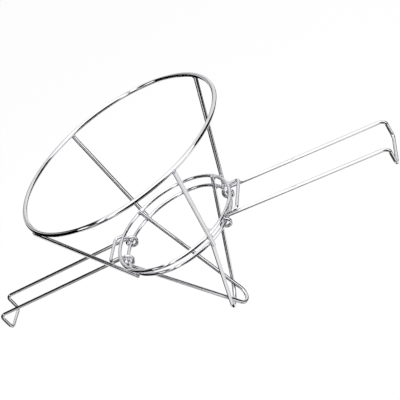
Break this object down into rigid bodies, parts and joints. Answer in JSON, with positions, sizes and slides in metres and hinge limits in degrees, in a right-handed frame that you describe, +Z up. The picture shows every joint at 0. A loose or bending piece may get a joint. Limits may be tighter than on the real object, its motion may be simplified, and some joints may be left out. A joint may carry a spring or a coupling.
{
  "type": "fryer oil filter stand",
  "caption": "Folding wire stand that holds a paper filter cone mouth up and hangs by two hinged handles from the rim of a pot.",
  "frame": {"origin": "centre of the top ring, in the plane through the middle of its wire", "axes": "+Z up along the cone's axis, out of the mouth; +X toward the wide handle; +Y toward the back"},
  "size_m": [0.5265, 0.255, 0.2607],
  "materials": {
    "chrome_wire": "bright plated steel wire"
  },
  "bodies": {
    "stand": {"top_ring": "chrome_wire", "upper_band": "chrome_wire", "lower_band": "chrome_wire", "leg_front_left": "chrome_wire", "leg_back_left": "chrome_wire", "leg_front_right": "chrome_wire", "leg_back_right": "chrome_wire", "cradle_wire_left": "chrome_wire", "cradle_wire_right": "chrome_wire", "guide_narrow": "chrome_wire", "guide_wide": "chrome_wire"},
    "narrow_handle": {"handle_narrow": "chrome_wire"},
    "wide_handle": {"handle_wide": "chrome_wire"}
  },
  "joints": [
    {"name": "narrow_handle_fold", "type": "hinge", "parent": "stand", "child": "narrow_handle", "pos_m": [-0.06798, 0, -0.1242], "axis": [0, -1, 0], "range_deg": [0, 115]},
    {"name": "wide_handle_fold", "type": "hinge", "parent": "stand", "child": "wide_handle", "pos_m": [0.06517, 0, -0.1242], "axis": [0, 1, 0], "range_deg": [0, 115]}
  ]
}
